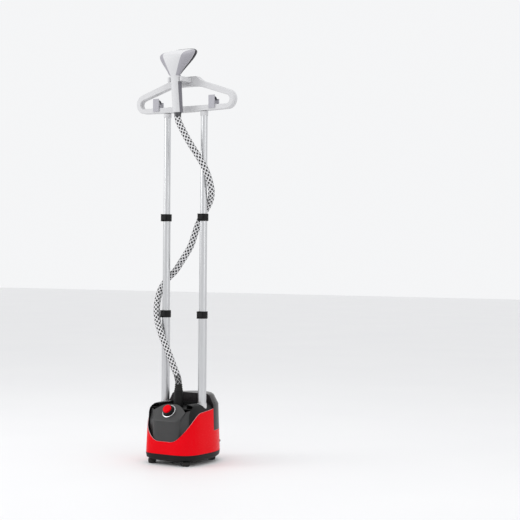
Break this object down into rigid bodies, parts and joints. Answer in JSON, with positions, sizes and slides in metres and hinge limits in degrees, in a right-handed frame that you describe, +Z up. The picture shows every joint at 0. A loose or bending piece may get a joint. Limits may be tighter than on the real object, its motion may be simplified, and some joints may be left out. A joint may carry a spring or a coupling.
{
  "type": "garment steamer",
  "caption": "Upright garment steamer with a rounded base, lift-off water tank, telescopic poles, a garment hanger with trouser clips, and a braided hose to a handset.",
  "frame": {"origin": "centre of the object's width and of the base's depth, on the floor under the feet", "axes": "+X along the hanger, to the right of someone facing the control knob; -Y from the poles towards the knob and the handset; +Z up along the poles"},
  "size_m": [0.447, 0.288, 1.5425],
  "materials": {
    "black_plastic": "fine-grained moulded plastic",
    "black_rubber": "matt rubber",
    "braided_sleeve": "woven sleeve with dark checks",
    "cast_aluminium": "as cast",
    "light_grey_plastic": "satin moulded plastic",
    "lilac_grey_plastic": "satin moulded plastic",
    "mid_grey_plastic": "satin moulded plastic",
    "plate_coating": "dark satin coating",
    "pole_aluminium": "drawn and satin anodised",
    "red_lens": "clear tinted plastic",
    "red_plastic": "glossy moulded plastic",
    "smoke_tank_plastic": "dark smoked plastic",
    "steel": "turned"
  },
  "bodies": {
    "base": {"bottom_pan": "black_plastic", "front_left_foot": "black_rubber", "front_right_foot": "black_rubber", "rear_left_foot": "black_rubber", "rear_right_foot": "black_rubber", "side_cover": "red_plastic", "main_housing": "black_plastic", "control_fascia": "black_plastic", "top_deck": "black_plastic", "pilot_lens": "red_lens", "knob_bezel": "steel", "heat_switch": "mid_grey_plastic", "hose_outlet": "black_plastic", "hose_strain_relief": "black_rubber", "tank_bay": "black_plastic", "boiler_pot": "cast_aluminium", "boiler_cover": "cast_aluminium", "steam_pipe": "black_rubber", "feed_pipe": "black_rubber", "drain_plug": "black_plastic", "cord_inlet": "black_rubber", "left_pole_socket": "light_grey_plastic", "right_pole_socket": "light_grey_plastic", "left_lower_pole": "pole_aluminium", "right_lower_pole": "pole_aluminium", "left_lower_clamp": "black_plastic", "right_lower_clamp": "black_plastic", "hose_lower": "braided_sleeve"},
    "middle_stage": {"left_middle_pole": "pole_aluminium", "right_middle_pole": "pole_aluminium", "left_upper_clamp": "black_plastic", "right_upper_clamp": "black_plastic", "hose_middle": "braided_sleeve"},
    "upper_stage": {"left_upper_pole": "pole_aluminium", "right_upper_pole": "pole_aluminium", "left_hanger_socket": "light_grey_plastic", "right_hanger_socket": "light_grey_plastic", "hanger_front": "light_grey_plastic", "hanger_back": "light_grey_plastic", "handset_fork": "light_grey_plastic", "hose_upper": "braided_sleeve"},
    "handset": {"handset_shell": "light_grey_plastic", "handset_grip": "mid_grey_plastic", "plate_rim": "plate_coating", "steam_plate": "plate_coating", "steam_tube": "black_rubber", "hose_ferrule": "steel"},
    "knob": {"knob_dial": "black_plastic", "knob_cap": "red_plastic", "knob_shaft": "steel"},
    "tank": {"water_tank": "smoke_tank_plastic", "tank_cap": "mid_grey_plastic"},
    "left_lower_lever": {"left_lower_clamp_lever": "black_plastic"},
    "right_lower_lever": {"right_lower_clamp_lever": "black_plastic"},
    "left_upper_lever": {"left_upper_clamp_lever": "black_plastic"},
    "right_upper_lever": {"right_upper_clamp_lever": "black_plastic"},
    "left_clip": {"left_clip_jaw": "lilac_grey_plastic"},
    "left_clip_handle": {"left_clip_lever": "lilac_grey_plastic"},
    "right_clip": {"right_clip_jaw": "lilac_grey_plastic"},
    "right_clip_handle": {"right_clip_lever": "lilac_grey_plastic"}
  },
  "joints": [
    {"name": "lower_slide", "type": "slide", "parent": "base", "child": "middle_stage", "axis": [0, 0, 1], "range_m": [-0.334, 0], "deforming": ["hose_lower"]},
    {"name": "upper_slide", "type": "slide", "parent": "middle_stage", "child": "upper_stage", "axis": [0, 0, 1], "range_m": [-0.3575, 0], "deforming": ["hose_middle"]},
    {"name": "handset_lift", "type": "slide", "parent": "upper_stage", "child": "handset", "axis": [0, -0.7071, 0.7071], "range_m": [0, 0.08], "deforming": ["hose_upper"]},
    {"name": "knob_turn", "type": "hinge", "parent": "base", "child": "knob", "pos_m": [0, -0.1125, 0.19618], "axis": [0, -0.766, 0.6428], "range_deg": [0, 270]},
    {"name": "tank_lift", "type": "slide", "parent": "base", "child": "tank", "axis": [0, 0, 1], "range_m": [0, 0.15]},
    {"name": "left_lower_lever_hinge", "type": "hinge", "parent": "base", "child": "left_lower_lever", "pos_m": [-0.092, -0.0438, 0.551], "axis": [0, 0, -1], "range_deg": [0, 100]},
    {"name": "right_lower_lever_hinge", "type": "hinge", "parent": "base", "child": "right_lower_lever", "pos_m": [0.077, -0.0438, 0.551], "axis": [0, 0, -1], "range_deg": [0, 100]},
    {"name": "left_upper_lever_hinge", "type": "hinge", "parent": "middle_stage", "child": "left_upper_lever", "pos_m": [-0.092, -0.0438, 0.913], "axis": [0, 0, -1], "range_deg": [0, 100]},
    {"name": "right_upper_lever_hinge", "type": "hinge", "parent": "middle_stage", "child": "right_upper_lever", "pos_m": [0.077, -0.0438, 0.913], "axis": [0, 0, -1], "range_deg": [0, 100]},
    {"name": "left_clip_slide", "type": "slide", "parent": "upper_stage", "child": "left_clip", "axis": [1, 0, 0], "range_m": [-0.035, 0.085]},
    {"name": "left_clip_open", "type": "hinge", "parent": "left_clip", "child": "left_clip_handle", "pos_m": [-0.128, -0.0295, 1.335], "axis": [-1, 0, 0], "range_deg": [0, 20], "stiffness_Nm_per_rad": 0.05, "springref_deg": -20.05},
    {"name": "right_clip_slide", "type": "slide", "parent": "upper_stage", "child": "right_clip", "axis": [1, 0, 0], "range_m": [-0.085, 0.035]},
    {"name": "right_clip_open", "type": "hinge", "parent": "right_clip", "child": "right_clip_handle", "pos_m": [0.128, -0.0295, 1.335], "axis": [-1, 0, 0], "range_deg": [0, 20], "stiffness_Nm_per_rad": 0.05, "springref_deg": -20.05}
  ]
}
